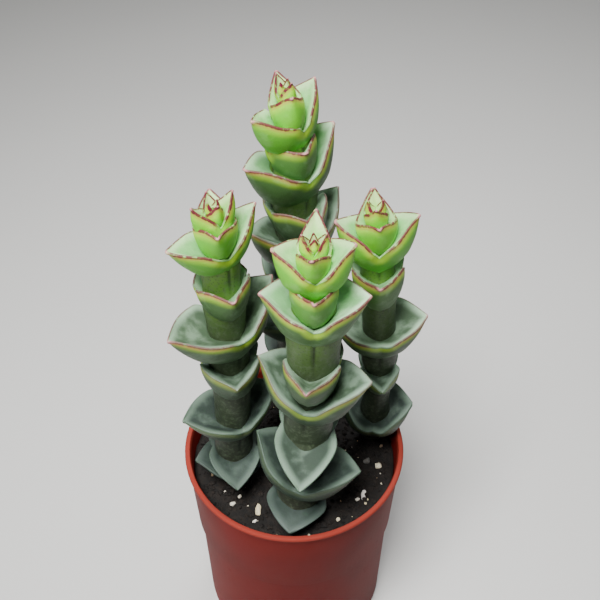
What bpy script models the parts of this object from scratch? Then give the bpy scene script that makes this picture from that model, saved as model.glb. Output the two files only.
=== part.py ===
"""A string of buttons (a stacked-leaf succulent) in its round plastic pot.

Metres, +Z up. The origin is the centre of the pot's underside. The stems' leaf pairs are fused
round the stem, each pair turned about a quarter from the next, as they grow.
"""

import math
from collections import namedtuple

import bmesh
import bpy
from mathutils import Matrix, Vector

MM = 0.001

# Pot
POT_HEIGHT = 68 * MM
RIM_RADIUS = 30 * MM
LIP_HEIGHT = 1.3 * MM
LIP_WIDTH = 1.4 * MM
BAND_DEPTH = 27 * MM
BAND_TOP_RADIUS = 29.3 * MM
BAND_LOW_RADIUS = 28.2 * MM
BODY_TOP_RADIUS = 27.4 * MM
BASE_RADIUS = 26.6 * MM
WALL = 1.0 * MM
FLOOR = 1.5 * MM
LIP_ROUND = 0.3 * MM
FOOT_ROUND = 0.8 * MM
POT_SIDES = 48
DRAIN_RADIUS = 3.0 * MM
DRAIN_RING = 14.5 * MM
DRAIN_COUNT = 5

# Soil
SOIL_LEVEL = POT_HEIGHT - 6 * MM
SOIL_GAP = 0.35 * MM
SOIL_RINGS = 6
SOIL_SIDES = 36
SOIL_RELIEF = 0.7 * MM
SOIL_FLAT_EDGE = 3 * MM

# Stems and leaves
ROOT_DEPTH = 14 * MM
ROOT_RADIUS = 2.6 * MM
HOLE_GAP = 0.4 * MM
STEM_SIDES = 10

# Joints (mm): the half width of a pair whose joint is full grown, how far down the young stretch
# goes and how grown it starts, how far the swelling lies under a pair and the neck over it, the
# length from which a joint has a waist and the share of it where that is, and the bud on top.
FULL_WIDTH = 6.0
YOUNG_STRETCH = 16.0
YOUNG_START = 4.0
SWELL_DROP = 2.2
NECK_RISE = 0.6
LONG_JOINT = 7.0
JOINT_WAIST = 0.35
BUD_RISE = 1.2
BUD_RADIUS = 0.4
LEAST_STEP = 0.3

# Leaf shape: the thickness of its edge, the share of its length where it is widest and of its width
# that it has where the two leaves meet, how blunt its tip is (more for each mm of half width), how
# its underside rounds from edge to edge, how much thicker it is at the stem and how it thins to the
# tip, how its edges rise and its underside turns outwards with them, the share of its length by
# which it faces along its midrib, and how its stations crowd towards the tip.
LEAF_EDGE = 0.75 * MM
WIDEST = 0.28
WAIST = 0.86
LEAST_BLUNT = 1.0
BLUNT_GROWTH = 0.1
KEEL_POWER = 0.72
HEEL = 1.3
THINNING = 1.5
CUP_POWER = 1.3
SPLAY = 0.3
FACING = 0.35
TIP_CROWDING = 1.3

# A leaf pair: the height of its node over the soil, the turn of its first leaf about the stem,
# the length of a leaf from the stem's axis to its tip, its half width and its thickness (all mm
# and degrees), the lift of its midrib at the stem and at the tip, how far its edges rise for each
# mm of half width, and how much higher its first leaf is lifted than its second.
Pair = namedtuple("Pair", "height turn length width thick lift curl cup tilt")

# A stem: the points of its axis (x, y and height over the soil, mm), the radius of its joints'
# swollen part under a leaf pair and of the narrow part over one, and its leaf pairs from the top.
Stem = namedtuple("Stem", "axis swell narrow pairs")

STEMS = {
    "front_stem": Stem(
        axis=((0.8, -15.5, 0), (2.9, -15.5, 26), (4.5, -15.5, 56), (4.4, -15.5, 95)),
        swell=6.2,
        narrow=5.7,
        pairs=(
            Pair(94.0, 95, 3.5, 1.1, 1.3, 62, 88, 0.30, 0),
            Pair(92.5, 5, 6.0, 1.8, 2.0, 52, 80, 0.45, 0),
            Pair(90.0, 86, 11.0, 3.5, 4.0, 36, 56, 0.60, 0),
            Pair(87.0, 4, 11.5, 6.0, 5.5, 38, 46, 0.35, 0),
            Pair(79.0, 90, 12.0, 5.0, 5.2, 34, 50, 0.75, 0),
            Pair(73.5, 0, 14.0, 8.0, 6.2, 34, 28, 0.40, -2),
            Pair(56.0, 82, 14.0, 6.4, 6.5, 18, 36, 0.60, 0),
            Pair(47.0, -13, 16.5, 8.5, 7.0, 38, 34, 0.20, -2),
            Pair(33.5, 84, 17.0, 7.4, 4.8, -4, -8, 0.28, 0),
            Pair(15.5, -19, 17.0, 8.2, 7.2, 32, 38, 0.15, -5),
            Pair(6.0, 79, 12.5, 7.8, 3.8, 4, -8, 0.14, 0),
        ),
    ),
    "left_stem": Stem(
        axis=((-16.2, -5.0, 0), (-15.4, -5.5, 40), (-15.6, -5.5, 66), (-16.4, -5.5, 96)),
        swell=5.2,
        narrow=4.8,
        pairs=(
            Pair(94.6, 30, 3.5, 1.2, 1.3, 60, 86, 0.30, 0),
            Pair(93.2, 120, 6.0, 2.0, 2.0, 50, 78, 0.45, 0),
            Pair(91.0, 34, 9.0, 3.0, 3.0, 44, 70, 0.50, 0),
            Pair(86.5, 100, 11.5, 4.6, 4.0, 46, 46, 0.80, 0),
            Pair(83.0, 34, 14.0, 5.4, 4.5, 32, 43, 0.42, 6),
            Pair(70.0, 112, 11.0, 6.2, 5.0, 28, 44, 0.70, 0),
            Pair(57.5, 38, 17.5, 8.2, 6.2, 26, 40, 0.42, 6),
            Pair(45.0, 102, 12.8, 7.2, 6.6, 26, 24, 0.52, 0),
            Pair(24.5, 26, 15.0, 7.8, 5.0, 28, 34, 0.38, 5),
            Pair(11.5, 96, 13.2, 6.6, 4.6, 2, -4, 0.30, 0),
            Pair(6.0, 18, 11.5, 7.0, 3.2, 16, 28, 0.16, 0),
        ),
    ),
    "right_stem": Stem(
        axis=((22.0, 8.0, 0), (22.0, 5.0, 32), (20.2, 4.0, 62), (18.0, 4.0, 90)),
        swell=4.7,
        narrow=4.3,
        pairs=(
            Pair(85.6, 0, 4.8, 1.5, 1.6, 58, 84, 0.35, 0),
            Pair(84.0, 90, 7.6, 2.6, 2.6, 46, 74, 0.45, 0),
            Pair(79.5, 94, 11.0, 4.6, 4.0, 48, 60, 0.70, 4),
            Pair(75.5, 3, 13.5, 6.2, 5.0, 39, 53, 0.45, -2),
            Pair(65.5, 90, 13.5, 6.0, 6.0, 29, 45, 0.65, 0),
            Pair(47.5, 0, 13.0, 8.0, 6.4, 17, 30, 0.30, 0),
            Pair(32.0, 92, 11.0, 5.0, 5.2, 18, 26, 0.45, 0),
            Pair(12.0, -7, 11.5, 8.6, 6.4, 24, 40, 0.20, 0),
        ),
    ),
    "back_stem": Stem(
        axis=((0.6, 16.5, 0), (0.8, 16.5, 50), (0.2, 16.5, 84), (-1.6, 16.5, 110)),
        swell=5.6,
        narrow=5.2,
        pairs=(
            Pair(109.0, 42, 3.5, 1.1, 1.3, 62, 88, 0.30, 0),
            Pair(107.5, 130, 6.0, 1.9, 2.0, 52, 80, 0.45, 0),
            Pair(103.6, 107, 9.8, 3.6, 4.6, 42, 62, 0.60, -3),
            Pair(99.0, 44, 13.2, 5.6, 4.7, 32, 57, 0.52, 4),
            Pair(91.5, 117, 10.5, 5.8, 4.8, 36, 48, 0.70, 0),
            Pair(86.0, 36, 15.8, 7.2, 6.2, 33, 45, 0.42, 3),
            Pair(74.5, 118, 14.2, 6.8, 5.8, 27, 34, 0.62, 0),
            Pair(66.5, 39, 16.8, 7.5, 6.2, 30, 44, 0.28, 0),
            Pair(53.0, 128, 14.6, 7.2, 5.8, 22, 34, 0.42, 0),
            Pair(39.5, 40, 15.6, 7.6, 5.8, 22, 30, 0.36, 0),
            Pair(25.5, 130, 13.4, 7.0, 5.2, 14, 20, 0.30, 0),
            Pair(12.0, 42, 12.6, 6.8, 4.8, 14, 18, 0.28, 0),
        ),
    ),
}


def clear_scene():
    """Empty the file it runs in."""
    for thing in list(bpy.data.objects):
        bpy.data.objects.remove(thing)


def plain_material(name, colour, roughness, metallic=0.0):
    """A Principled material with one colour."""
    material = bpy.data.materials.new(name)
    material.use_nodes = True
    shader = material.node_tree.nodes["Principled BSDF"]
    shader.inputs["Base Color"].default_value = (*colour, 1.0)
    shader.inputs["Roughness"].default_value = roughness
    shader.inputs["Metallic"].default_value = metallic
    return material


def link_mesh(name, work, material=None):
    """Make an object of a bmesh and link it to the scene."""
    mesh = bpy.data.meshes.new(name)
    bmesh.ops.recalc_face_normals(work, faces=work.faces)
    work.to_mesh(mesh)
    work.free()
    thing = bpy.data.objects.new(name, mesh)
    bpy.context.scene.collection.objects.link(thing)
    if material:
        mesh.materials.append(material)
    return thing


def apply_modifiers(thing):
    """Replace an object's mesh by what its modifiers make of it."""
    bpy.context.view_layer.update()
    graph = bpy.context.evaluated_depsgraph_get()
    mesh = bpy.data.meshes.new_from_object(thing.evaluated_get(graph))
    thing.modifiers.clear()
    thing.data = mesh


def turned(name, profile, sides, material=None):
    """A closed solid turned round Z from a profile of (radius, height) points off the axis, whose
    first and last rings are closed by one flat face each."""
    work = bmesh.new()
    rings = []
    for radius, height in profile:
        angles = [2 * math.pi * step / sides for step in range(sides)]
        rings.append([work.verts.new((radius * math.cos(a), radius * math.sin(a), height)) for a in angles])
    for low, high in zip(rings, rings[1:]):
        for step in range(sides):
            after = (step + 1) % sides
            work.faces.new((low[step], low[after], high[after], high[step]))
    work.faces.new(rings[0])
    work.faces.new(rings[-1])
    return link_mesh(name, work, material)


def cylinder_cutter(name, radius, place, low, high, sides=16):
    """A plain upright cylinder that a Boolean takes away."""
    cutter = turned(name, ((radius, low), (radius, high)), sides)
    cutter.location = (place[0], place[1], 0)
    cutter.hide_render = True
    cutter.display_type = "WIRE"
    return cutter


def cut_away(thing, cutters):
    """Take the cutters out of an object, apply the cuts and remove the cutters."""
    for cutter in cutters:
        cut = thing.modifiers.new(cutter.name, "BOOLEAN")
        cut.operation = "DIFFERENCE"
        cut.solver = "EXACT"
        cut.object = cutter
    apply_modifiers(thing)
    for cutter in cutters:
        bpy.data.objects.remove(cutter)


def inner_radius(height):
    """The radius of the pot's inside at a height over its underside."""
    band_low = POT_HEIGHT - BAND_DEPTH
    if height < band_low:
        share = (height - FLOOR) / (band_low - FLOOR)
        return BASE_RADIUS - WALL + share * (BODY_TOP_RADIUS - BASE_RADIUS)
    share = (height - band_low) / BAND_DEPTH
    return BAND_LOW_RADIUS - WALL + share * (BAND_TOP_RADIUS - BAND_LOW_RADIUS)


def make_pot(material):
    """The thin plastic pot: tapered body, deep band, lip, and a floor with drainage holes."""
    band_low = POT_HEIGHT - BAND_DEPTH
    under_band = band_low - FOOT_ROUND
    under_lip = POT_HEIGHT - LIP_HEIGHT
    profile = (
        (BASE_RADIUS - FOOT_ROUND, 0),
        (BASE_RADIUS, FOOT_ROUND),
        (BODY_TOP_RADIUS, under_band),
        (BAND_LOW_RADIUS, band_low),
        (BAND_TOP_RADIUS, under_lip),
        (RIM_RADIUS, under_lip + LIP_ROUND),
        (RIM_RADIUS, POT_HEIGHT - LIP_ROUND),
        (RIM_RADIUS - LIP_ROUND, POT_HEIGHT),
        (RIM_RADIUS - LIP_WIDTH, POT_HEIGHT),
        (inner_radius(under_lip), under_lip),
        (inner_radius(band_low), band_low),
        (inner_radius(under_band), under_band),
        (inner_radius(FLOOR), FLOOR),
    )
    pot = turned("pot", profile, POT_SIDES, material)
    cutters = []
    for hole in range(DRAIN_COUNT):
        angle = 2 * math.pi * (hole + 0.5) / DRAIN_COUNT
        place = (DRAIN_RING * math.cos(angle), DRAIN_RING * math.sin(angle))
        cutters.append(cylinder_cutter(f"drain_{hole}", DRAIN_RADIUS, place, -MM, FLOOR + MM))
    cut_away(pot, cutters)
    pot.data.shade_smooth()
    pot.data.set_sharp_from_angle(angle=math.radians(35))
    return pot


def soil_relief(x, y):
    """The soil's gentle unevenness over its level, in metres."""
    wave = math.sin(x / (4.1 * MM) + 1.3) * math.cos(y / (5.3 * MM) - 0.4)
    ripple = math.sin((x + 0.6 * y) / (2.6 * MM)) * math.cos((y - 0.3 * x) / (2.9 * MM))
    return SOIL_RELIEF * (0.6 * wave + 0.4 * ripple)


def make_soil(material):
    """The plug of potting mix, with a hole for each stem."""
    low = FLOOR + SOIL_GAP
    band_low = POT_HEIGHT - BAND_DEPTH
    profile = [(inner_radius(z) - SOIL_GAP, z) for z in (low, band_low - FOOT_ROUND, band_low)]
    edge = inner_radius(SOIL_LEVEL) - SOIL_GAP
    profile += [(edge * (1 - ring / SOIL_RINGS), SOIL_LEVEL) for ring in range(SOIL_RINGS)]
    soil = turned("soil", profile, SOIL_SIDES, material)
    for vertex in soil.data.vertices:
        if vertex.co.z > SOIL_LEVEL - 0.1 * MM:
            fade = min(1.0, (edge - vertex.co.xy.length) / SOIL_FLAT_EDGE)
            vertex.co.z += fade * soil_relief(vertex.co.x, vertex.co.y)
    cutters = []
    for name, stem in STEMS.items():
        place = Vector(stem.axis[0]).xy * MM
        floor = SOIL_LEVEL - ROOT_DEPTH - HOLE_GAP
        radius = ROOT_RADIUS + HOLE_GAP
        cutters.append(cylinder_cutter(f"{name}_hole", radius, place, floor, SOIL_LEVEL + 5 * MM, 14))
    cut_away(soil, cutters)
    return soil


def axis_point(stem, height):
    """A point on the stem's axis at a height over the soil, on a smooth curve through its points."""
    points = [Vector(point) * MM + Vector((0, 0, SOIL_LEVEL)) for point in stem.axis]
    z = SOIL_LEVEL + height
    if z <= points[0].z:
        return Vector((points[0].x, points[0].y, z))
    index = max(i for i in range(len(points) - 1) if z >= points[i].z)
    first, last = points[index], points[index + 1]
    before = points[max(index - 1, 0)]
    after = points[min(index + 2, len(points) - 1)]
    share = (z - first.z) / (last.z - first.z)
    start = (last - before) * ((last.z - first.z) / max(last.z - before.z, MM))
    end = (after - first) * ((last.z - first.z) / max(after.z - first.z, MM))
    bend = first * (2 * share**3 - 3 * share**2 + 1) + start * (share**3 - 2 * share**2 + share)
    bend += last * (3 * share**2 - 2 * share**3) + end * (share**3 - share**2)
    return Vector((bend.x, bend.y, z))


def axis_frame(stem, height, turn):
    """A matrix with its origin on the axis, its Z along it and its X turned about it."""
    step = 2 * MM
    along = (axis_point(stem, height + step) - axis_point(stem, height - step)).normalized()
    lean = Vector((0, 0, 1)).rotation_difference(along).to_matrix().to_4x4()
    turned_by = Matrix.Rotation(math.radians(turn), 4, "Z")
    return Matrix.Translation(axis_point(stem, height)) @ lean @ turned_by


def leaf_half_width(pair, share):
    """Half the leaf's width at a share of its length. Small young leaves are more pointed."""
    if share < WIDEST:
        return pair.width * MM * (WAIST + (1 - WAIST) * math.sin(math.pi / 2 * share / WIDEST))
    blunt = LEAST_BLUNT + BLUNT_GROWTH * pair.width
    return pair.width * MM * (1 - ((share - WIDEST) / (1 - WIDEST)) ** blunt)


def midrib(pair, share, side):
    """Reach, rise and slope of the midrib at a share of the leaf's length."""
    start = math.radians(pair.lift + side * pair.tilt)
    bend = math.radians(pair.curl - pair.lift)
    slope = start + bend * share
    if abs(bend) < 0.01:
        reach = share * math.cos(start)
        rise = share * math.sin(start)
    else:
        reach = (math.sin(slope) - math.sin(start)) / bend
        rise = (math.cos(start) - math.cos(slope)) / bend
    return reach * pair.length * MM, rise * pair.length * MM, slope


def leaf_station(pair, share, side, shares_across):
    """The upper and lower points of the leaf across its midrib, at a share of its length."""
    reach, rise, slope = midrib(pair, share, side)
    half = leaf_half_width(pair, share)
    facing = slope * min(1.0, share / FACING)
    up = Vector((-side * math.sin(facing), 0, math.cos(facing)))
    across = Vector((0, 1, 0))
    centre = Vector((side * reach, 0, rise))
    body = max(0.0, pair.thick * MM * HEEL * (1 - share**THINNING) - LEAF_EDGE)
    upper = []
    lower = []
    for t in shares_across:
        fold = pair.cup * CUP_POWER * abs(t) ** (CUP_POWER - 1) * (1 if t > 0 else -1)
        point = centre + across * (t * half) + up * (pair.cup * half * abs(t) ** CUP_POWER)
        out = (across * fold * SPLAY - up).normalized()
        depth = LEAF_EDGE + body * (1 - t * t) ** KEEL_POWER
        upper.append(point)
        lower.append(point + out * depth)
    return upper, lower


def pair_rows(pair, steps, across):
    """The pair's upper and lower rows of points from one tip to the other."""
    shares_across = [math.sin(math.pi / 2 * (2 * j / across - 1)) for j in range(across + 1)]
    shares = [1 - (1 - k / steps) ** TIP_CROWDING for k in range(steps + 1)]
    upper_rows = []
    lower_rows = []
    for side, run in ((-1, reversed(shares)), (1, shares[1:])):
        for share in run:
            if share > 0.999:
                reach, rise, slope = midrib(pair, 1, side)
                tip = Vector((side * reach, 0, rise))
                down = Vector((side * math.sin(slope), 0, -math.cos(slope)))
                upper_rows.append([tip])
                lower_rows.append([tip + down * LEAF_EDGE])
            else:
                upper, lower = leaf_station(pair, share, side, shares_across)
                upper_rows.append(upper)
                lower_rows.append(lower)
    return upper_rows, lower_rows


def skin_strip(work, first, second):
    """Faces between two rows of vertices, either of which may be a single vertex."""
    for j in range(max(len(first), len(second)) - 1):
        corners = (
            first[min(j, len(first) - 1)],
            first[min(j + 1, len(first) - 1)],
            second[min(j + 1, len(second) - 1)],
            second[min(j, len(second) - 1)],
        )
        work.faces.new(list(dict.fromkeys(corners)))


def make_pair(name, stem, pair, steps, across):
    """One fused leaf pair as a closed solid on its stem."""
    frame = axis_frame(stem, pair.height * MM, pair.turn)
    work = bmesh.new()
    upper, lower = pair_rows(pair, steps, across)
    upper = [[work.verts.new(frame @ point) for point in row] for row in upper]
    lower = [[work.verts.new(frame @ point) for point in row] for row in lower]
    for rows in (upper, lower):
        for first, second in zip(rows, rows[1:]):
            skin_strip(work, first, second)
    for index in range(len(upper) - 1):
        for edge in (0, -1):
            corners = (upper[index][edge], upper[index + 1][edge], lower[index + 1][edge], lower[index][edge])
            work.faces.new(corners)
    return link_mesh(name, work)


def joint_size(stem, pair):
    """How far the joint at a leaf pair has grown, from 0 at the stem's tip to 1."""
    grown = (stem.pairs[0].height - pair.height + YOUNG_START) / YOUNG_STRETCH
    return min(1.0, pair.width / FULL_WIDTH) * min(1.0, grown)


def stem_radii(stem):
    """Heights over the soil (mm) and radii (mm) up the stem, swollen under each leaf pair."""
    rows = [(-ROOT_DEPTH / MM, ROOT_RADIUS / MM), (0.4, ROOT_RADIUS / MM)]
    for pair in reversed(stem.pairs):
        size = joint_size(stem, pair)
        gap = pair.height - rows[-1][0]
        if gap > LONG_JOINT:
            rows.append((rows[-1][0] + JOINT_WAIST * gap, stem.narrow * size))
        rows.append((pair.height - SWELL_DROP * size, stem.swell * size))
        rows.append((pair.height + NECK_RISE, stem.narrow * size))
    rows.append((stem.pairs[0].height + BUD_RISE, BUD_RADIUS))
    kept = rows[:1]
    for row, before in zip(rows[1:], rows):
        if row[0] > before[0] + LEAST_STEP:
            kept.append(row)
    return kept


def make_core(name, stem):
    """The stem itself, as a closed tube along its axis."""
    work = bmesh.new()
    rings = []
    for height, radius in stem_radii(stem):
        centre = axis_point(stem, height * MM)
        ring = []
        for step in range(STEM_SIDES):
            angle = 2 * math.pi * step / STEM_SIDES
            offset = Vector((math.cos(angle), math.sin(angle), 0)) * radius * MM
            ring.append(work.verts.new(centre + offset))
        rings.append(ring)
    for low, high in zip(rings, rings[1:]):
        for step in range(STEM_SIDES):
            after = (step + 1) % STEM_SIDES
            work.faces.new((low[step], low[after], high[after], high[step]))
    work.faces.new(rings[0])
    work.faces.new(rings[-1])
    return link_mesh(name, work)


def make_stem(name, stem, material):
    """A leafy stem: its tube and its leaf pairs, joined in one solid."""
    core = make_core(name, stem)
    leaves = bpy.data.collections.new(f"{name}_leaves")
    for index, pair in enumerate(stem.pairs):
        steps, across = (5, 4) if pair.length > 9 else (3, 4)
        leaf = make_pair(f"{name}_pair_{index}", stem, pair, steps, across)
        bpy.context.scene.collection.objects.unlink(leaf)
        leaves.objects.link(leaf)
    union = core.modifiers.new("Grown together", "BOOLEAN")
    union.operation = "UNION"
    union.solver = "EXACT"
    union.operand_type = "COLLECTION"
    union.collection = leaves
    apply_modifiers(core)
    for leaf in list(leaves.objects):
        bpy.data.objects.remove(leaf)
    bpy.data.collections.remove(leaves)
    core.data.materials.clear()
    core.data.materials.append(material)
    core.data.shade_smooth()
    core.data.set_sharp_from_angle(angle=math.radians(40))
    return core


def main():
    clear_scene()
    pot_plastic = plain_material("pot_plastic", (0.23, 0.045, 0.035), 0.42)
    potting_mix = plain_material("potting_mix", (0.022, 0.016, 0.012), 0.95)
    leaf_flesh = plain_material("leaf_flesh", (0.24, 0.36, 0.20), 0.5)
    make_pot(pot_plastic)
    make_soil(potting_mix)
    for name, stem in STEMS.items():
        make_stem(name, stem, leaf_flesh)


main()
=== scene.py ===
import math
from collections import namedtuple

import bpy
import numpy as np
from mathutils import Matrix, Vector, noise


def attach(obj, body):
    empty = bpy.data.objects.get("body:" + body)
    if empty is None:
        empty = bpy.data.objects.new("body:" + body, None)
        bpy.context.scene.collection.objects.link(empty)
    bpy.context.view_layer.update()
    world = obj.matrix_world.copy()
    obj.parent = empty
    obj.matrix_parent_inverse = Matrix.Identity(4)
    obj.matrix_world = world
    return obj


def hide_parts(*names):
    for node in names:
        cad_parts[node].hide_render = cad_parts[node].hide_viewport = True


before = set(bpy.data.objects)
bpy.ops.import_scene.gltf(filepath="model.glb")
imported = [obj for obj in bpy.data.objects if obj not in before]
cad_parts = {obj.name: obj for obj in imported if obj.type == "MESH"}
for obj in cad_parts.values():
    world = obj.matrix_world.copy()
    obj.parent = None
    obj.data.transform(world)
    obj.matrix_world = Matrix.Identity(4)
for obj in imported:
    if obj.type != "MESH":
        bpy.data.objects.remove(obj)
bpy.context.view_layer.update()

# A string of buttons (a stacked-leaf succulent) in its plastic pot. Metres, +Z up. Lengths that a
# name or a comment gives in mm are multiplied by MM where a mesh is made.

MM = 0.001
BODY = "root"

# Pot
POT_HEIGHT = 68.0
RIM_RADIUS = 30.0
LIP_HEIGHT = 1.3
LIP_WIDTH = 1.4
BAND_DEPTH = 27.0
BAND_TOP_RADIUS = 29.3
BAND_LOW_RADIUS = 28.2
BODY_TOP_RADIUS = 27.4
BASE_RADIUS = 26.6
WALL = 1.0
FLOOR_THICKNESS = 1.5
FOOT_ROUND = 0.8
LIP_UNDER_ROUND = 0.45
LIP_OUTER_ROUND = 0.6
LIP_INNER_ROUND = 0.3
POT_SIDES = 96
DRAIN_RADIUS = 3.0
DRAIN_RING = 14.5
DRAIN_COUNT = 5
DRAIN_SIDES = 32

# The step from the body out to the band (mm): how far it starts under the band, two points of its
# curve, as how far they are out from the body or in from the band and how far they are under the
# band, and how far over the band's edge it ends.
STEP_DEPTH = 0.8
STEP_START = (0.1, 0.55)
STEP_END = (0.25, 0.15)
STEP_TOP = 0.25

# Soil
SOIL_LEVEL = POT_HEIGHT - 6.0
SOIL_GAP = 0.35
SOIL_SEED = 11
BED_RINGS = 26
BED_RING_WIDTH = 1.0

# The bed's surface: the scale of its lumps and of its finer relief (waves in a mm) with their
# heights (mm), and how far in from the wall it starts to sink and how deep it sinks there (mm).
LUMP_SCALE = 0.22
LUMP_HEIGHT = 0.9
RELIEF_SCALE = 0.9
RELIEF_HEIGHT = 0.25
SINK_REACH = 4.0
SINK_DEPTH = 0.5

# Loose crumbs and grit (mm): how many are drawn, how far from the wall they keep or how far out they
# lie, their least size and how much larger they get, from which size a crumb gets the finer lump,
# and how rough and how tilted (radians) a lump is.
CRUMB_COUNT = 2600
CRUMB_WALL_GAP = 0.9
CRUMB_LEAST = 0.35
CRUMB_SPAN = 1.5
LARGE_CRUMB = 1.1
GRIT_COUNT = 70
GRIT_REACH = 26.0
GRIT_LEAST = 0.3
GRIT_SPAN = 0.7
LUMP_ROUGHNESS = 0.22
LUMP_TILT = 0.4

# Leaf shape: the thickness of its edge (mm), the share of its length where it is widest and of its
# width that it has where the two leaves meet, how blunt its tip is (more for each mm of half width),
# how its underside rounds from edge to edge, how much thicker it is at the stem and how it thins to
# the tip, how its edges rise and its underside turns outwards with them, the share of its length by
# which it faces along its midrib, and how its stations crowd towards the tip.
LEAF_EDGE = 0.55
WIDEST = 0.28
WAIST = 0.86
LEAST_BLUNT = 1.0
BLUNT_GROWTH = 0.1
KEEL_POWER = 0.72
HEEL = 1.3
THINNING = 1.5
CUP_POWER = 1.3
SPLAY = 0.3
FACING = 0.35
TIP_CROWDING = 1.3
LEAF_STEPS = 20
LEAF_ACROSS = 16

# Leaf edges: how thick a small leaf's edge is (mm, and mm for each mm of half width), how far the
# margin waves for each mm of half width, how fast it waves along the leaf and by how much the two
# margins' waves differ (radians), and how far the edge and the tip bulge as a share of the edge.
YOUNG_EDGE = 0.12
EDGE_GROWTH = 0.12
WAVE_HEIGHT = 0.045
WAVE_RATE = 9.0
WAVE_SHIFT = 2.6
EDGE_BULGE = 0.3
TIP_BULGE = 0.5

# Stems: how deep their buried ends go, how thick these are and how far they reach over the soil (mm).
ROOT_DEPTH = 14.0
ROOT_RADIUS = 2.6
ROOT_TOP = 0.4
STEM_SIDES = 72
STEM_STEP = 0.7

# Joints (mm): the half width of a pair whose joint is full grown, how far down the young stretch
# goes and how grown it starts, how far the swelling lies under a pair and the neck over it, the
# length from which a joint has a waist and the share of it where that is, and the bud on top.
FULL_WIDTH = 6.0
YOUNG_STRETCH = 16.0
YOUNG_START = 4.0
SWELL_DROP = 2.2
NECK_RISE = 0.6
LONG_JOINT = 7.0
JOINT_WAIST = 0.35
BUD_RISE = 1.2
BUD_RADIUS = 0.4

# The groove that a pair leaves down its joint: its half width and depth (mm) and the share of the
# joint that it runs down. A joint is a little wider along its pair, by this share.
SEAM_WIDTH = 0.42
SEAM_DEPTH = 0.45
SEAM_REACH = 0.8
JOINT_OVAL = 0.05

# How far under the stem's top a leaf is as old as can be (mm).
AGE_SPAN = 88.0

# Studio: how widely the lamps shine (degrees) and what they point at (m), and the camera's place (m),
# its angle over the horizon (degrees), its sensor and its lens (mm).
LAMP_SPREAD = 70
LAMP_TARGET = (0, 0, 0.11)
CAMERA_PLACE = (0.0016, -0.1625, POT_HEIGHT * MM + 0.2252)
CAMERA_RISE = 46
CAMERA_SENSOR = 36
CAMERA_LENS = 60

# A leaf pair: the height of its node over the soil, the turn of its first leaf about the stem,
# the length of a leaf from the stem's axis to its tip, its half width and its thickness (all mm
# and degrees), the lift of its midrib at the stem and at the tip, how far its edges rise for each
# mm of half width, and how much higher its first leaf is lifted than its second.
Pair = namedtuple("Pair", "height turn length width thick lift curl cup tilt")

# A stem: the points of its axis (x, y and height over the soil, mm), the radius of its joints'
# swollen part under a leaf pair and of the narrow part over one, and its leaf pairs from the top.
Stem = namedtuple("Stem", "axis swell narrow pairs")

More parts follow.
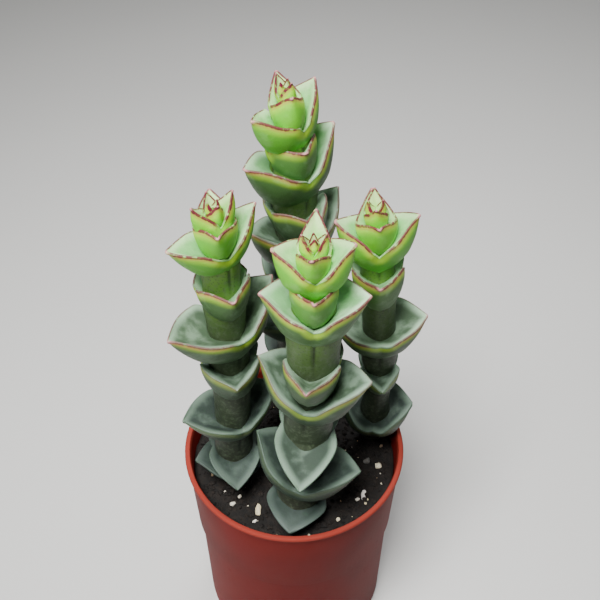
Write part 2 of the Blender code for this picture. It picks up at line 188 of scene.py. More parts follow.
STEMS = {
    "front_stem": Stem(
        axis=((0.8, -15.5, 0), (2.9, -15.5, 26), (4.5, -15.5, 56), (4.4, -15.5, 95)),
        swell=6.2,
        narrow=5.7,
        pairs=(
            Pair(94.0, 95, 3.5, 1.1, 1.3, 62, 88, 0.30, 0),
            Pair(92.5, 5, 6.0, 1.8, 2.0, 52, 80, 0.45, 0),
            Pair(90.0, 86, 11.0, 3.5, 4.0, 36, 56, 0.60, 0),
            Pair(87.0, 4, 11.5, 6.0, 5.5, 38, 46, 0.35, 0),
            Pair(79.0, 90, 12.0, 5.0, 5.2, 34, 50, 0.75, 0),
            Pair(73.5, 0, 14.0, 8.0, 6.2, 34, 28, 0.40, -2),
            Pair(56.0, 82, 14.0, 6.4, 6.5, 18, 36, 0.60, 0),
            Pair(47.0, -13, 16.5, 8.5, 7.0, 38, 34, 0.20, -2),
            Pair(33.5, 84, 17.0, 7.4, 4.8, -4, -8, 0.28, 0),
            Pair(15.5, -19, 17.0, 8.2, 7.2, 32, 38, 0.15, -5),
            Pair(6.0, 79, 12.5, 7.8, 3.8, 4, -8, 0.14, 0),
        ),
    ),
    "left_stem": Stem(
        axis=((-16.2, -5.0, 0), (-15.4, -5.5, 40), (-15.6, -5.5, 66), (-16.4, -5.5, 96)),
        swell=5.2,
        narrow=4.8,
        pairs=(
            Pair(94.6, 30, 3.5, 1.2, 1.3, 60, 86, 0.30, 0),
            Pair(93.2, 120, 6.0, 2.0, 2.0, 50, 78, 0.45, 0),
            Pair(91.0, 34, 9.0, 3.0, 3.0, 44, 70, 0.50, 0),
            Pair(86.5, 100, 11.5, 4.6, 4.0, 46, 46, 0.80, 0),
            Pair(83.0, 34, 14.0, 5.4, 4.5, 32, 43, 0.42, 6),
            Pair(70.0, 112, 11.0, 6.2, 5.0, 28, 44, 0.70, 0),
            Pair(57.5, 38, 17.5, 8.2, 6.2, 26, 40, 0.42, 6),
            Pair(45.0, 102, 12.8, 7.2, 6.6, 26, 24, 0.52, 0),
            Pair(24.5, 26, 15.0, 7.8, 5.0, 28, 34, 0.38, 5),
            Pair(11.5, 96, 13.2, 6.6, 4.6, 2, -4, 0.30, 0),
            Pair(6.0, 18, 11.5, 7.0, 3.2, 16, 28, 0.16, 0),
        ),
    ),
    "right_stem": Stem(
        axis=((22.0, 8.0, 0), (22.0, 5.0, 32), (20.2, 4.0, 62), (18.0, 4.0, 90)),
        swell=4.7,
        narrow=4.3,
        pairs=(
            Pair(85.6, 0, 4.8, 1.5, 1.6, 58, 84, 0.35, 0),
            Pair(84.0, 90, 7.6, 2.6, 2.6, 46, 74, 0.45, 0),
            Pair(79.5, 94, 11.0, 4.6, 4.0, 48, 60, 0.70, 4),
            Pair(75.5, 3, 13.5, 6.2, 5.0, 39, 53, 0.45, -2),
            Pair(65.5, 90, 13.5, 6.0, 6.0, 29, 45, 0.65, 0),
            Pair(47.5, 0, 13.0, 8.0, 6.4, 17, 30, 0.30, 0),
            Pair(32.0, 92, 11.0, 5.0, 5.2, 18, 26, 0.45, 0),
            Pair(12.0, -7, 11.5, 8.6, 6.4, 24, 40, 0.20, 0),
        ),
    ),
    "back_stem": Stem(
        axis=((0.6, 16.5, 0), (0.8, 16.5, 50), (0.2, 16.5, 84), (-1.6, 16.5, 110)),
        swell=5.6,
        narrow=5.2,
        pairs=(
            Pair(109.0, 42, 3.5, 1.1, 1.3, 62, 88, 0.30, 0),
            Pair(107.5, 130, 6.0, 1.9, 2.0, 52, 80, 0.45, 0),
            Pair(103.6, 107, 9.8, 3.6, 4.6, 42, 62, 0.60, -3),
            Pair(99.0, 44, 13.2, 5.6, 4.7, 32, 57, 0.52, 4),
            Pair(91.5, 117, 10.5, 5.8, 4.8, 36, 48, 0.70, 0),
            Pair(86.0, 36, 15.8, 7.2, 6.2, 33, 45, 0.42, 3),
            Pair(74.5, 118, 14.2, 6.8, 5.8, 27, 34, 0.62, 0),
            Pair(66.5, 39, 16.8, 7.5, 6.2, 30, 44, 0.28, 0),
            Pair(53.0, 128, 14.6, 7.2, 5.8, 22, 34, 0.42, 0),
            Pair(39.5, 40, 15.6, 7.6, 5.8, 22, 30, 0.36, 0),
            Pair(25.5, 130, 13.4, 7.0, 5.2, 14, 20, 0.30, 0),
            Pair(12.0, 42, 12.6, 6.8, 4.8, 14, 18, 0.28, 0),
        ),
    ),
}


class Tone:
    """A value on its way through a finish, written with Python's operators."""

    def __init__(self, finish, socket):
        self.finish = finish
        self.socket = socket

    def maths(self, operation, first, second=0.0):
        return self.finish.node("ShaderNodeMath", {"operation": operation}, {0: first, 1: second})

    def __add__(self, other):
        return self.maths("ADD", self, other)

    def __radd__(self, other):
        return self.maths("ADD", other, self)

    def __sub__(self, other):
        return self.maths("SUBTRACT", self, other)

    def __rsub__(self, other):
        return self.maths("SUBTRACT", other, self)

    def __mul__(self, other):
        return self.maths("MULTIPLY", self, other)

    def __abs__(self):
        return self.maths("ABSOLUTE", self)

    def rise(self, low, high):
        """0 below low and 1 above high, smooth between them."""
        values = {"Value": self, "From Min": low, "From Max": high}
        return self.finish.node("ShaderNodeMapRange", {"interpolation_type": "SMOOTHSTEP"}, values)

    def fall(self, low, high):
        """1 below low and 0 above high, smooth between them."""
        return 1 - self.rise(low, high)


class Finish:
    """A material for one kind of surface, and what its node tree is made with."""

    def __init__(self, name, fixed):
        self.material = bpy.data.materials.new(name)
        self.material.use_nodes = True
        self.tree = self.material.node_tree
        self.shader = self.tree.nodes["Principled BSDF"]
        for socket, value in fixed.items():
            self.shader.inputs[socket].default_value = value
        self.place = self.node("ShaderNodeTexCoord", output="Object")

    def node(self, kind, settings=None, values=None, output=0):
        """Add a node, set it up, feed its sockets and give back one of its outputs."""
        made = self.tree.nodes.new(kind)
        for name, value in (settings or {}).items():
            if name == "stops":
                lay_stops(made.color_ramp, value)
            else:
                setattr(made, name, value)
        for name, value in (values or {}).items():
            self.feed(made.inputs[name], value)
        return Tone(self, made.outputs[output])

    def feed(self, socket, value):
        if isinstance(value, Tone):
            self.tree.links.new(value.socket, socket)
        elif isinstance(value, tuple) and socket.type == "RGBA":
            socket.default_value = (*value, 1.0)
        else:
            socket.default_value = value

    def attribute(self, name):
        return self.node("ShaderNodeAttribute", {"attribute_name": name}, output="Fac")

    def noise(self, scale, detail=3.0, roughness=0.5):
        values = {"Vector": self.place, "Scale": scale, "Detail": detail, "Roughness": roughness}
        return self.node("ShaderNodeTexNoise", None, values)

    def dots(self, scale, reach):
        """1 in round dots and 0 between them."""
        cells = self.node("ShaderNodeTexVoronoi", None, {"Vector": self.place, "Scale": scale})
        return cells.fall(reach * 0.6, reach)

    def ramp(self, share, *stops):
        return self.node("ShaderNodeValToRGB", {"stops": stops}, {"Fac": share})

    def mix(self, share, first, second):
        return self.node("ShaderNodeMix", {"data_type": "RGBA"}, {0: share, 6: first, 7: second}, 2)

    def paint(self, colour, roughness, height=None, depth=0.0001):
        """Feed the shader, with a bump of that depth in metres where a height is given."""
        self.feed(self.shader.inputs["Base Color"], colour)
        self.feed(self.shader.inputs["Roughness"], roughness)
        if height is not None:
            bump = self.node("ShaderNodeBump", None, {"Height": height, "Distance": depth})
            self.feed(self.shader.inputs["Normal"], bump)
        return self.material


def lay_stops(ramp, stops):
    """Give a colour ramp its stops, each a position and a colour."""
    while len(ramp.elements) < len(stops):
        ramp.elements.new(0.5)
    for element, (position, colour) in zip(ramp.elements, stops):
        element.position = position
        element.color = (*colour, 1.0)


# What a leaf's finish reads: the distance from the margin on the upper face and under it (mm), the
# share of the leaf's length, the leaf's age, and two noises.
Marks = namedtuple("Marks", "rim under along age cloud mottle")


def face_colours(skin, marks):
    """The leaf's upper face, paler near its edge by bloom and a painted highlight, and in clouds, and
    that paler bloom.
    """
    # The face and its bloom darken with age down the stem: partly the older leaves' own colour, partly
    # painted shade on the lower leaves.
    face = skin.ramp(
        marks.age,
        (0.0, (0.26, 0.62, 0.03)),
        (0.07, (0.22, 0.56, 0.17)),
        (0.24, (0.15, 0.38, 0.14)),
        (0.42, (0.052, 0.092, 0.048)),
        (0.75, (0.023, 0.037, 0.029)),
        (1.0, (0.022, 0.036, 0.029)),
    )
    bloom = skin.ramp(
        marks.age,
        (0.0, (0.60, 0.82, 0.32)),
        (0.2, (0.50, 0.76, 0.46)),
        (0.5, (0.27, 0.40, 0.29)),
        (1.0, (0.065, 0.092, 0.078)),
    )
    # Near its edge the face turns to the pale bloom: partly the leaf's own bloom, partly a painted
    # highlight along the margin.
    edge_bloom_and_highlight = marks.rim.fall(0.4, 2.4) * 0.85
    face = skin.mix(edge_bloom_and_highlight, face, bloom)
    clouded = (marks.cloud.rise(0.42, 0.68) * 0.4) * marks.along.rise(0.1, 0.5)
    return skin.mix(clouded, face, bloom), bloom


def belly_colour(skin, marks, bloom):
    """The leaf's underside, with a painted band of backlight glowing under the edge of the younger
    leaves.
    """
    # The underside darkens with age down the stem and, below the youngest pairs, is darker than the
    # face: partly its own colour, partly painted shade under the leaves.
    belly = skin.ramp(
        marks.age,
        (0.0, (0.20, 0.70, 0.005)),
        (0.1, (0.12, 0.46, 0.02)),
        (0.2, (0.055, 0.15, 0.026)),
        (0.3, (0.038, 0.085, 0.025)),
        (0.55, (0.028, 0.055, 0.024)),
        (1.0, (0.020, 0.036, 0.026)),
    )
    # Painted backlight: the bright band under the edge of the younger leaves stands in for light
    # shining through the thin margin.
    band = skin.ramp(
        marks.age,
        (0.0, (0.50, 0.85, 0.01)),
        (0.3, (0.34, 0.58, 0.012)),
        (0.6, (0.20, 0.29, 0.03)),
        (1.0, (0.10, 0.14, 0.08)),
    )
    painted_backlight = marks.under.rise(0.1, 0.5) * marks.under.fall(0.9, 2.9) * marks.age.fall(0.5, 1.1)
    painted_backlight = painted_backlight * (1 - marks.along * 0.6)
    belly = skin.mix(painted_backlight, belly, band)
    return skin.mix(marks.cloud.rise(0.5, 0.7) * 0.15, belly, bloom)


def stalk_colour(skin, marks):
    """The joints between the pairs, mottled and dotted, and dark down their grooves."""
    stalk = skin.ramp(
        marks.age,
        (0.0, (0.12, 0.28, 0.02)),
        (0.4, (0.031, 0.048, 0.019)),
        (0.8, (0.020, 0.028, 0.015)),
        (1.0, (0.018, 0.020, 0.011)),
    )
    stalk = skin.mix(marks.mottle.rise(0.45, 0.7) * 0.5, stalk, (0.085, 0.11, 0.065))
    stalk = skin.mix(skin.dots(1500, 0.34) * 0.5, stalk, (0.02, 0.028, 0.014))
    return skin.mix(skin.attribute("seam") * 0.85, stalk, (0.008, 0.008, 0.004))


def redden_edge(skin, marks, colour):
    """The broken crimson edge of the younger leaves, the glow under it and the pink tip."""
    blush = marks.age.fall(0.36, 0.66) * marks.along.rise(0.16, 0.42)
    broken = marks.mottle.rise(0.25, 0.5) * (1 - marks.age * 0.6)
    wander = marks.rim + (marks.mottle - 0.5) * 0.7
    line = abs(wander + 0.18).fall(0.38, 0.62) * blush * broken
    glow = marks.under.rise(0.3, 0.6) * marks.under.fall(0.8, 1.5) * blush
    colour = skin.mix(glow * 0.5, colour, (0.46, 0.15, 0.08))
    colour = skin.mix(line, colour, (0.13, 0.003, 0.024))
    tip = marks.along.rise(0.93, 1.0) * marks.age.fall(0.3, 0.6)
    return skin.mix(tip * 0.6, colour, (0.72, 0.34, 0.36))


def leaf_finish():
    """Waxy leaf and stem skin. It reads each point's distance from the leaf's margin (rim, mm, below
    0 on the underside), how far along the leaf it is, the leaf's age, and the stem's marks."""
    fixed = {
        "Subsurface Weight": 0.10,
        "Subsurface Radius": (0.5, 1.0, 0.35),
        "Subsurface Scale": 0.0022,
        "IOR": 1.42,
    }
    skin = Finish("leaf_flesh", fixed)
    rim = skin.attribute("rim")
    marks = Marks(
        rim=rim,
        under=rim * -1,
        along=skin.attribute("along"),
        age=skin.attribute("age"),
        cloud=skin.noise(230, 4.0),
        mottle=skin.noise(900, 4.0, 0.6),
    )
    fine = skin.noise(3200, 2.0)
    upper = rim.rise(-0.06, 0.06)
    face, bloom = face_colours(skin, marks)
    colour = skin.mix(upper, belly_colour(skin, marks, bloom), face)
    colour = skin.mix(skin.attribute("joint"), colour, stalk_colour(skin, marks))
    colour = skin.mix((marks.mottle - 0.5) * 0.5, colour, (0.05, 0.09, 0.05))
    colour = redden_edge(skin, marks, colour)
    rough = 0.46 + marks.cloud * 0.2 + upper * 0.08
    return skin.paint(colour, rough, marks.mottle * 0.7 + fine * 0.3, 0.00012)


def pot_finish():
    """Thin moulded plastic, with a painted highlight that makes the lip paler, a little dust and fine
    scuffs.
    """
    shell = Finish("pot_plastic", {"IOR": 1.48, "Specular IOR Level": 0.04})
    height = shell.node("ShaderNodeSeparateXYZ", None, {0: shell.place}, "Z")
    cloud = shell.noise(60, 4.0)
    grain = shell.noise(2600, 2.0)
    # Painted highlight: the lip is paler where its top catches the light.
    lip = height.rise((POT_HEIGHT - 1.6) * MM, (POT_HEIGHT - 0.5) * MM)
    colour = shell.mix(cloud.rise(0.35, 0.7), (0.130, 0.010, 0.008), (0.105, 0.008, 0.006))
    colour = shell.mix(lip * 0.8, colour, (0.24, 0.035, 0.024))
    dust = shell.noise(420, 5.0, 0.65).rise(0.58, 0.8) * 0.3
    colour = shell.mix(dust, colour, (0.12, 0.035, 0.03))
    rough = 0.50 + dust * 0.4 + grain * 0.08
    return shell.paint(colour, rough, grain * 0.5 + cloud * 0.5, 0.00005)


def soil_finish(name, dark, brown):
    """Damp potting mix, with a tone of its own for each crumb where the piece has one."""
    mix = Finish(name, {"IOR": 1.4})
    shade = mix.attribute("shade")
    crumbs = mix.noise(700, 5.0, 0.65)
    grain = mix.noise(4200, 3.0, 0.6)
    colour = mix.mix(crumbs.rise(0.4, 0.7) * 0.6 + shade * 0.5, dark, brown)
    return mix.paint(colour, 0.72 + grain * 0.25, crumbs * 0.6 + grain * 0.4, 0.0003)


def grit_finish():
    """Pale perlite and pumice, stained a little by the soil."""
    grit = Finish("pale_grit", {"IOR": 1.45})
    shade = grit.attribute("shade")
    stain = grit.noise(900, 5.0, 0.7)
    colour = grit.ramp(
        shade,
        (0.0, (0.80, 0.76, 0.72)),
        (0.45, (0.62, 0.56, 0.36)),
        (0.75, (0.40, 0.26, 0.15)),
        (1.0, (0.09, 0.09, 0.085)),
    )
    colour = grit.mix(stain.rise(0.52, 0.75) * 0.55, colour, (0.10, 0.075, 0.05))
    return grit.paint(colour, 0.75 + stain * 0.2, stain, 0.00025)


def floor_finish():
    """A plain pale floor."""
    floor = Finish("pale_floor", {})
    cloud = floor.noise(6, 3.0)
    colour = floor.mix(cloud, (0.50, 0.50, 0.49), (0.54, 0.54, 0.53))
    return floor.paint(colour, 0.6 + cloud * 0.1)


def axis_point(stem, height):
    """A point (mm) on the stem's axis at a height over the soil, on a smooth curve."""
    points = [Vector(point) for point in stem.axis]
    if height <= 0:
        return Vector((points[0].x, points[0].y, height))
    index = max(i for i in range(len(points) - 1) if height >= points[i].z)
    first, last = points[index], points[index + 1]
    before = points[max(index - 1, 0)]
    after = points[min(index + 2, len(points) - 1)]
    share = (height - first.z) / (last.z - first.z)
    start = (last - before) * ((last.z - first.z) / max(last.z - before.z, 1))
    end = (after - first) * ((last.z - first.z) / max(after.z - first.z, 1))
    bend = first * (2 * share**3 - 3 * share**2 + 1) + start * (share**3 - 2 * share**2 + share)
    bend += last * (3 * share**2 - 2 * share**3) + end * (share**3 - share**2)
    return Vector((bend.x, bend.y, height))


def axis_frame(stem, height, turn):
    """The axis's place and directions at a height, turned about it, in mm over the pot's underside."""
    along = (axis_point(stem, height + 2) - axis_point(stem, height - 2)).normalized()
    lean = Vector((0, 0, 1)).rotation_difference(along).to_matrix().to_4x4()
    place = axis_point(stem, height) + Vector((0, 0, SOIL_LEVEL))
    return np.array(Matrix.Translation(place) @ lean @ Matrix.Rotation(math.radians(turn), 4, "Z"))


def half_width(pair, share):
    """Half the leaf's width (mm) at a share of its length. Small young leaves are more pointed."""
    if share < WIDEST:
        return pair.width * (WAIST + (1 - WAIST) * math.sin(math.pi / 2 * share / WIDEST))
    blunt = LEAST_BLUNT + BLUNT_GROWTH * pair.width
    return pair.width * (1 - ((share - WIDEST) / (1 - WIDEST)) ** blunt)


def midrib(pair, share, side):
    """Reach and rise (mm) and slope of the midrib at a share of the leaf's length."""
    start = math.radians(pair.lift + side * pair.tilt)
    bend = math.radians(pair.curl - pair.lift)
    slope = start + bend * share
    if abs(bend) < 0.01:
        return share * math.cos(start) * pair.length, share * math.sin(start) * pair.length, slope
    reach = (math.sin(slope) - math.sin(start)) / bend
    rise = (math.cos(start) - math.cos(slope)) / bend
    return reach * pair.length, rise * pair.length, slope


def leaf_ring(pair, share, side, edge, wave):
    """The ring of points round a leaf at a share of its length: upper face, edge, underside, edge."""
    t = np.sin(np.pi / 2 * np.linspace(-1, 1, LEAF_ACROSS + 1))[:, None]
    reach, rise, slope = midrib(pair, share, side)
    half = half_width(pair, share)
    facing = slope * min(1.0, share / FACING)
    up = np.array((-side * math.sin(facing), 0, math.cos(facing)))
    across = np.array((0.0, 1.0, 0.0))
    centre = np.array((side * reach, 0, rise))
    size = np.abs(t)
    phase = WAVE_RATE * share * side + WAVE_SHIFT * np.sign(t) + pair.turn
    ripple = wave * np.sin(phase) * size**3 * min(1, 3 * share)
    upper = centre + across * t * half + up * (pair.cup * half * size**CUP_POWER + ripple)
    fold = pair.cup * CUP_POWER * size ** (CUP_POWER - 1) * np.sign(t)
    out = across * fold * SPLAY - up
    out /= np.linalg.norm(out, axis=1)[:, None]
    body = max(0.0, pair.thick * HEEL * (1 - share**THINNING) - edge)
    lower = upper + out * (edge + body * (1 - t * t) ** KEEL_POWER)
    right = (upper[-1] + lower[-1]) / 2 + across * edge * EDGE_BULGE
    left = (upper[0] + lower[0]) / 2 - across * edge * EDGE_BULGE
    return np.vstack((upper, right, lower[::-1], left))


def pair_mesh(stem, pair):
    """A fused pair as points (mm), faces, and each point's distance from the margin and along."""
    edge = min(LEAF_EDGE, EDGE_GROWTH * pair.width + YOUNG_EDGE)
    wave = WAVE_HEIGHT * pair.width
    shares = [1 - (1 - k / LEAF_STEPS) ** TIP_CROWDING for k in range(LEAF_STEPS)]
    stations = [(share, -1) for share in reversed(shares)] + [(share, 1) for share in shares[1:]]
    rings = np.array([leaf_ring(pair, share, side, edge, wave) for share, side in stations])
    tips = []
    for side in (-1, 1):
        reach, rise, slope = midrib(pair, 1, side)
        out = side * edge * TIP_BULGE * math.sin(slope)
        tips.append((side * reach + out, 0, rise - edge * TIP_BULGE * math.cos(slope)))
    count = rings.shape[1]
    points = np.vstack((rings.reshape(-1, 3), tips))
    margin = np.vstack((rings[:, 0], rings[:, LEAF_ACROSS], tips))
    away = np.sqrt(((points[:, None] - margin[None]) ** 2).sum(2)).min(1)
    sign = np.ones(count)
    sign[LEAF_ACROSS + 1:] = -1
    sign[[LEAF_ACROSS + 1, count - 1]] = 0
    rim = away * np.append(np.tile(sign, len(stations)), (0, 0))
    along = np.append(np.repeat([share for share, _ in stations], count), (1, 1))
    faces = []
    for ring in range(len(stations) - 1):
        low, high = ring * count, (ring + 1) * count
        for k in range(count):
            after = (k + 1) % count
            faces.append((low + k, low + after, high + after, high + k))
    last = (len(stations) - 1) * count
    for k in range(count):
        after = (k + 1) % count
        faces.append((after, k, len(points) - 2))
        faces.append((last + k, last + after, len(points) - 1))
    frame_here = axis_frame(stem, pair.height, pair.turn)
    placed = points @ frame_here[:3, :3].T + frame_here[:3, 3]
    return placed, faces, rim, along


def joint_size(stem, pair):
    """How far the joint at a leaf pair has grown, from 0 at the stem's tip to 1."""
    grown = (stem.pairs[0].height - pair.height + YOUNG_START) / YOUNG_STRETCH
    return min(1.0, pair.width / FULL_WIDTH) * min(1.0, grown)


def joint_rows(stem):
    """Heights over the soil and radii (mm) up the stem, swollen under each leaf pair."""
    rows = [(-ROOT_DEPTH, ROOT_RADIUS), (ROOT_TOP, ROOT_RADIUS)]
    for pair in reversed(stem.pairs):
        size = joint_size(stem, pair)
        gap = pair.height - rows[-1][0]
        if gap > LONG_JOINT:
            rows.append((rows[-1][0] + JOINT_WAIST * gap, stem.narrow * size))
        rows.append((pair.height - SWELL_DROP * size, stem.swell * size))
        rows.append((pair.height + NECK_RISE, stem.narrow * size))
    rows.append((stem.pairs[0].height + BUD_RISE, BUD_RADIUS))
    return rows


def joint_radius(rows, height):
    """The stem's radius at a height, smooth between the rows."""
    for (low, first), (high, last) in zip(rows, rows[1:]):
        if height <= high:
            share = max(0.0, (height - low) / (high - low))
            return first + (last - first) * share * share * (3 - 2 * share)
    return rows[-1][1]


def leaf_age(stem, height):
    """0 at the stem's top and 1 near the soil."""
    top = stem.pairs[0].height
    return min(1.0, max(0.0, (top - height) / AGE_SPAN))


def stem_ring(stem, rows, height, angles):
    """The stem's points (mm) round its axis at a height, and how deep in the groove each lies."""
    above = [pair for pair in stem.pairs if pair.height >= height]
    pair = above[-1] if above else stem.pairs[0]
    below = [other.height for other in stem.pairs if other.height < height]
    gap = max(pair.height - (below[0] if below else 0.0), 1.0)
    radius = joint_radius(rows, height)
    turned = angles - math.radians(pair.turn)
    arc = np.abs((turned % np.pi) - np.pi / 2) * radius
    size = joint_size(stem, pair)
    fade = min(1.0, max(0.0, 1 - (pair.height - height) / (SEAM_REACH * gap)) * 2)
    seam = np.exp(-((arc / SEAM_WIDTH) ** 2)) * fade * size
    oval = 1 + JOINT_OVAL * np.cos(2 * turned) * size
    reach = radius * oval - SEAM_DEPTH * seam
    ring = np.stack((reach * np.cos(angles), reach * np.sin(angles), np.zeros(STEM_SIDES)), 1)
    here = axis_frame(stem, height, 0)
    return ring @ here[:3, :3].T + here[:3, 3], seam


def stem_mesh(stem):
    """The stem as points (mm) and faces, and each point's place in the groove and its age."""
    rows = joint_rows(stem)
    low, high = rows[0][0], rows[-1][0]
    heights = np.linspace(low, high, int((high - low) / STEM_STEP))
    angles = np.linspace(0, 2 * np.pi, STEM_SIDES, endpoint=False)
    rings = [stem_ring(stem, rows, height, angles) for height in heights]
    points = [ring for ring, _ in rings]
    seams = [seam for _, seam in rings]
    ages = [np.full(STEM_SIDES, leaf_age(stem, height)) for height in heights]
    faces = []
    for ring in range(len(heights) - 1):
        first, second = ring * STEM_SIDES, (ring + 1) * STEM_SIDES
        for k in range(STEM_SIDES):
            after = (k + 1) % STEM_SIDES
            faces.append((first + k, first + after, second + after, second + k))
    faces.append(tuple(reversed(range(STEM_SIDES))))
    faces.append(tuple(range((len(heights) - 1) * STEM_SIDES, len(heights) * STEM_SIDES)))
    return np.vstack(points), faces, np.concatenate(seams), np.concatenate(ages)


def mesh_piece(name, points, faces, marks, material):
    """A piece with its points in mm, and a number for each point under each mark's name."""
    mesh = bpy.data.meshes.new(name)
    mesh.from_pydata((points * MM).tolist(), [], faces)
    for mark, values in marks.items():
        layer = mesh.attributes.new(mark, "FLOAT", "POINT")
        layer.data.foreach_set("value", np.asarray(values, np.float32))
    mesh.materials.append(material)
    piece = bpy.data.objects.new(name, mesh)
    bpy.context.scene.collection.objects.link(piece)
    return piece


def leafy_stem(name, stem, material):
    """One stem with all its leaf pairs."""
    points, faces, seam, age = stem_mesh(stem)
    count = len(points)
    marks = {
        "rim": np.full(count, -9.0),
        "along": np.zeros(count),
        "age": age,
        "joint": np.ones(count),
        "seam": seam,
    }
    points = [points]
    for pair in stem.pairs:
        placed, own_faces, rim, along = pair_mesh(stem, pair)
        start = sum(len(part) for part in points)
        points.append(placed)
        faces += [tuple(start + corner for corner in face) for face in own_faces]
        size = len(placed)
        own = {
            "rim": rim,
            "along": along,
            "age": np.full(size, leaf_age(stem, pair.height)),
            "joint": np.zeros(size),
            "seam": np.zeros(size),
        }
        marks = {mark: np.concatenate((marks[mark], own[mark])) for mark in marks}
    piece = mesh_piece(name, np.vstack(points), faces, marks, material)
    tidy_normals(piece)
    piece.data.shade_smooth()
    return piece


def alone(piece):
    """Make a piece the only selected and the active one."""
    bpy.ops.object.select_all(action="DESELECT")
    piece.select_set(True)
    bpy.context.view_layer.objects.active = piece


def tidy_normals(piece):
    """Turn every face of a piece outwards."""
    alone(piece)
    bpy.ops.object.mode_set(mode="EDIT")
    bpy.ops.mesh.select_all(action="SELECT")
    bpy.ops.mesh.normals_make_consistent(inside=False)
    bpy.ops.object.mode_set(mode="OBJECT")


def draw_up(profile):
    """In edit mode, with one round face selected at the profile's first radius and height, draw it
    through the rest of the profile, leaving walls behind it."""
    radius, height = profile[0]
    for next_radius, next_height in profile[1:]:
        lift = (0, 0, (next_height - height) * MM)
        bpy.ops.mesh.extrude_region_move(TRANSFORM_OT_translate={"value": lift})
        grow = next_radius / radius
        middle = (0, 0, next_height * MM)
        bpy.ops.transform.resize(value=(grow, grow, 1), center_override=middle)
        radius, height = next_radius, next_height


def round_face(name, radius, height, sides):
    """A flat round face, in edit mode and selected."""
    bpy.ops.object.select_all(action="DESELECT")
    bpy.ops.mesh.primitive_circle_add(vertices=sides, radius=radius * MM, fill_type="NGON",
                                      location=(0, 0, height * MM))
    piece = bpy.context.object
    piece.name = piece.data.name = name
    bpy.ops.object.transform_apply(location=True)
    bpy.ops.object.mode_set(mode="EDIT")
    bpy.ops.mesh.select_all(action="SELECT")
    return piece


def inner_radius(height):
    """The radius (mm) of the pot's inside at a height over its underside."""
    band_low = POT_HEIGHT - BAND_DEPTH
    if height < band_low:
        share = (height - FLOOR_THICKNESS) / (band_low - FLOOR_THICKNESS)
        return BASE_RADIUS - WALL + share * (BODY_TOP_RADIUS - BASE_RADIUS)
    share = (height - band_low) / BAND_DEPTH
    return BAND_LOW_RADIUS - WALL + share * (BAND_TOP_RADIUS - BAND_LOW_RADIUS)


def arc_steps(centre, size, start, end, steps):
    """Points (radius, height) of a rounded corner, from one angle to another in degrees."""
    angles = [math.radians(start + (end - start) * k / steps) for k in range(steps + 1)]
    return [(centre[0] + size * math.cos(a), centre[1] + size * math.sin(a)) for a in angles]


def make_pot(material):
    """The pot with a rounded foot and lip, its deep band and its drainage holes."""
    band_low = POT_HEIGHT - BAND_DEPTH
    under_lip = POT_HEIGHT - LIP_HEIGHT
    foot = (BASE_RADIUS - FOOT_ROUND, FOOT_ROUND)
    lip_under = (RIM_RADIUS - LIP_UNDER_ROUND, under_lip + LIP_UNDER_ROUND)
    lip_outer = (RIM_RADIUS - LIP_OUTER_ROUND, POT_HEIGHT - LIP_OUTER_ROUND)
    lip_inner = (RIM_RADIUS - LIP_WIDTH + LIP_INNER_ROUND, POT_HEIGHT - LIP_INNER_ROUND)
    profile = arc_steps(foot, FOOT_ROUND, -90, 0, 4)
    profile += [
        (BODY_TOP_RADIUS, band_low - STEP_DEPTH),
        (BODY_TOP_RADIUS + STEP_START[0], band_low - STEP_START[1]),
        (BAND_LOW_RADIUS - STEP_END[0], band_low - STEP_END[1]),
        (BAND_LOW_RADIUS, band_low + STEP_TOP),
        (BAND_TOP_RADIUS, under_lip),
    ]
    profile += arc_steps(lip_under, LIP_UNDER_ROUND, -60, 0, 3)
    profile += arc_steps(lip_outer, LIP_OUTER_ROUND, 0, 90, 5)
    profile += arc_steps(lip_inner, LIP_INNER_ROUND, 90, 180, 3)
    profile += [(inner_radius(height), height) for height in (under_lip, band_low, FLOOR_THICKNESS)]
    pot = round_face("pot_shell", *profile[0], POT_SIDES)
    draw_up(profile)
    bpy.ops.mesh.select_all(action="SELECT")
    bpy.ops.mesh.normals_make_consistent(inside=False)
    bpy.ops.object.mode_set(mode="OBJECT")
    for hole in range(DRAIN_COUNT):
        angle = 2 * math.pi * (hole + 0.5) / DRAIN_COUNT
        cut_hole(pot, DRAIN_RING * math.cos(angle), DRAIN_RING * math.sin(angle))
    pot.data.materials.append(material)
    alone(pot)
    bpy.ops.object.shade_smooth_by_angle(angle=math.radians(40))
    return pot


def cut_hole(pot, x, y):
    """One drainage hole through the pot's floor."""
    bpy.ops.object.select_all(action="DESELECT")
    bpy.ops.mesh.primitive_cylinder_add(
        vertices=DRAIN_SIDES,
        radius=DRAIN_RADIUS * MM,
        depth=4 * FLOOR_THICKNESS * MM,
        location=(x * MM, y * MM, 0),
    )
    cutter = bpy.context.object
    alone(pot)
    cut = pot.modifiers.new("hole", "BOOLEAN")
    cut.operation = "DIFFERENCE"
    cut.solver = "EXACT"
    cut.object = cutter
    bpy.ops.object.modifier_apply(modifier=cut.name)
    bpy.data.objects.remove(cutter)


def bed_height(x, y):
    """The soil's height over the pot's underside at a place, all in mm."""
    place = Vector((x, y, 0))
    lumps = noise.fractal(place * LUMP_SCALE, 1.0, 2.0, 4) * LUMP_HEIGHT
    relief = noise.fractal(place * RELIEF_SCALE + Vector((7, 3, 1)), 1.0, 2.0, 3) * RELIEF_HEIGHT
    edge = inner_radius(SOIL_LEVEL) - SOIL_GAP
    sink = max(0.0, (math.hypot(x, y) - edge + SINK_REACH) / SINK_REACH) * SINK_DEPTH
    return SOIL_LEVEL + lumps + relief - sink


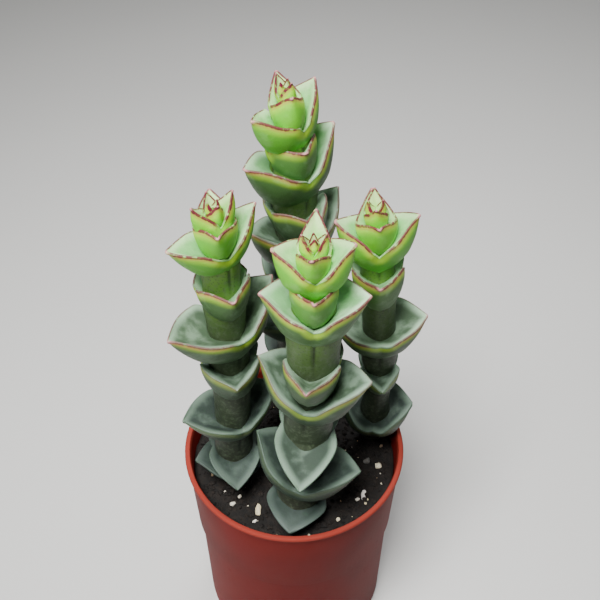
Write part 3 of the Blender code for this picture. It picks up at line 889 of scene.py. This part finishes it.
def make_soil_bed(material):
    """The plug of potting mix, its top drawn in ring by ring and then roughened."""
    low = FLOOR_THICKNESS + SOIL_GAP
    band_low = POT_HEIGHT - BAND_DEPTH
    profile = [(inner_radius(z) - SOIL_GAP, z) for z in (low, band_low, SOIL_LEVEL)]
    bed = round_face("soil_bed", *profile[0], POT_SIDES)
    draw_up(profile)
    for _ in range(BED_RINGS):
        bpy.ops.mesh.inset(thickness=BED_RING_WIDTH * MM)
    bpy.ops.mesh.select_all(action="SELECT")
    bpy.ops.mesh.normals_make_consistent(inside=False)
    bpy.ops.object.mode_set(mode="OBJECT")
    for vertex in bed.data.vertices:
        if vertex.co.z > (SOIL_LEVEL - 0.1) * MM:
            vertex.co.z = bed_height(vertex.co.x / MM, vertex.co.y / MM) * MM
    bed.data.materials.append(material)
    bed.data.shade_smooth()
    return bed


def lump(name, subdivisions):
    """The points and faces of one rough lump about 1 across, modelled once and copied."""
    bpy.ops.object.select_all(action="DESELECT")
    bpy.ops.mesh.primitive_ico_sphere_add(subdivisions=subdivisions, radius=0.5)
    ball = bpy.context.object
    points = np.array([vertex.co for vertex in ball.data.vertices])
    faces = [tuple(face.vertices) for face in ball.data.polygons]
    bpy.data.objects.remove(ball)
    return points, faces


def scatter(name, lumps, places, material):
    """One piece of many lumps. Each place is x, y, z, three sizes, a turn, a shade and which lump."""
    draw = np.random.default_rng(SOIL_SEED)
    points = []
    faces = []
    shades = []
    start = 0
    for x, y, z, size, turn, shade, kind in places:
        shape, own_faces = lumps[kind]
        rough = shape * (1 + draw.uniform(-LUMP_ROUGHNESS, LUMP_ROUGHNESS, (len(shape), 1)))
        tilt = Matrix.Rotation(draw.uniform(-LUMP_TILT, LUMP_TILT), 3, "Y")
        lie = Matrix.Rotation(math.radians(turn), 3, "Z") @ tilt
        points.append(rough * size @ np.array(lie).T + (x, y, z))
        faces += [tuple(start + corner for corner in face) for face in own_faces]
        shades.append(np.full(len(shape), shade))
        start += len(shape)
    return mesh_piece(name, np.vstack(points), faces, {"shade": np.concatenate(shades)}, material)


def crumb_places():
    """Where the loose crumbs lie on the bed, by a seeded draw."""
    draw = np.random.default_rng(SOIL_SEED)
    edge = inner_radius(SOIL_LEVEL) - CRUMB_WALL_GAP
    places = []
    for _ in range(CRUMB_COUNT):
        radius = edge * math.sqrt(draw.uniform())
        angle = draw.uniform(0, 2 * math.pi)
        x, y = radius * math.cos(angle), radius * math.sin(angle)
        size = CRUMB_LEAST + CRUMB_SPAN * draw.uniform() ** 3
        sizes = size * draw.uniform(0.6, 1.15, 3) * (1.1, 0.9, 0.7)
        reach = max(sizes) / 2
        if radius + reach > edge:
            continue
        turn = draw.uniform(0, 360)
        shade = draw.uniform() ** 2
        kind = 1 if size > LARGE_CRUMB else 0
        places.append((x, y, bed_height(x, y) + 0.12 * size, sizes, turn, shade, kind))
    return places


# Pale and dark bits on the soil that the eye picks out: x, y, length, width (mm), turn, shade.
BITS = (
    (23.2, -3.5, 1.9, 1.8, 0, 0.35),
    (18.7, -12.6, 3.6, 1.3, 84, 0.0),
    (17.0, -14.1, 1.3, 1.0, 20, 0.15),
    (11.7, -20.3, 1.2, 1.0, 40, 0.4),
    (-9.6, -17.6, 3.6, 1.5, 86, 0.5),
    (-16.4, -15.7, 1.5, 1.3, 10, 0.2),
    (-14.6, -13.5, 1.1, 0.9, 50, 0.25),
    (-18.7, -11.6, 0.8, 0.7, 0, 0.2),
    (-10.4, -21.0, 1.2, 0.8, 30, 0.1),
    (20.2, -1.6, 2.4, 1.6, 35, 1.0),
    (24.0, -8.7, 0.8, 0.7, 0, 0.3),
    (-12.4, -16.0, 0.6, 0.5, 0, 0.3),
)


def bit_places():
    """The bits of grit in the list, and smaller ones all over by a seeded draw."""
    draw = np.random.default_rng(SOIL_SEED + 1)
    places = []
    for x, y, length, width, turn, shade in BITS:
        sizes = np.array((length, width, width * 0.8))
        places.append((x, y, bed_height(x, y) + width * 0.3, sizes, turn, shade, 1))
    for _ in range(GRIT_COUNT):
        radius = GRIT_REACH * math.sqrt(draw.uniform())
        angle = draw.uniform(0, 2 * math.pi)
        x, y = radius * math.cos(angle), radius * math.sin(angle)
        size = GRIT_LEAST + GRIT_SPAN * draw.uniform() ** 2
        sizes = size * draw.uniform(0.7, 1.2, 3)
        turn = draw.uniform(0, 360)
        shade = draw.uniform()
        places.append((x, y, bed_height(x, y) + 0.25 * size, sizes, turn, shade, 0))
    return places


def settle(piece, slot, *nodes):
    """Hand a finished piece over: its body and the nodes that it stands for. The slot is not used."""
    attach(piece, BODY)
    if nodes:
        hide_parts(*nodes)


def area_light(name, place, target, size, power, colour):
    """A soft lamp that points from its place to a target."""
    lamp = bpy.data.lights.new(name, "AREA")
    lamp.size = size
    lamp.spread = math.radians(LAMP_SPREAD)
    lamp.energy = power
    lamp.color = colour
    holder = bpy.data.objects.new(name, lamp)
    bpy.context.scene.collection.objects.link(holder)
    holder.location = place
    holder.rotation_euler = (Vector(target) - Vector(place)).to_track_quat("-Z", "Y").to_euler()


def studio():
    """Floor, lamps, sky and camera."""
    bpy.ops.object.select_all(action="DESELECT")
    bpy.ops.mesh.primitive_plane_add(size=4)
    floor = bpy.context.object
    floor.name = "studio_floor"
    floor.data.materials.append(floor_finish())
    area_light("key", (-0.12, -0.24, 0.76), LAMP_TARGET, 0.26, 2.2, (1.0, 0.99, 0.97))
    area_light("fill", (-0.50, -0.35, 0.30), LAMP_TARGET, 0.40, 0.45, (0.95, 0.97, 1.0))
    area_light("rim", (0.12, 0.42, 0.55), LAMP_TARGET, 0.30, 0.5, (1.0, 1.0, 1.0))
    world = bpy.data.worlds.new("studio")
    bpy.context.scene.world = world
    world.use_nodes = True
    background = world.node_tree.nodes["Background"]
    background.inputs["Color"].default_value = (0.95, 0.97, 1.0, 1.0)
    background.inputs["Strength"].default_value = 0.07
    lens = bpy.data.cameras.new("camera")
    lens.sensor_width = CAMERA_SENSOR
    lens.lens = CAMERA_LENS
    camera = bpy.data.objects.new("camera", lens)
    bpy.context.scene.collection.objects.link(camera)
    camera.location = CAMERA_PLACE
    camera.rotation_euler = (math.radians(90 - CAMERA_RISE), 0, 0)
    bpy.context.scene.camera = camera


def main():
    flesh = leaf_finish()
    for name, stem in STEMS.items():
        settle(leafy_stem(name.replace("_stem", "_leaf_stack"), stem, flesh), "leaf_flesh", name)
    settle(make_pot(pot_finish()), "pot_plastic", "pot")
    mix = soil_finish("potting_mix", (0.003, 0.0023, 0.0018), (0.015, 0.010, 0.007))
    settle(make_soil_bed(mix), "potting_mix", "soil")
    lumps = [lump("small", 1), lump("large", 2)]
    settle(scatter("soil_crumbs", lumps, crumb_places(), mix), "potting_mix")
    settle(scatter("soil_grit", lumps, bit_places(), grit_finish()), "potting_mix")
    studio()


main()
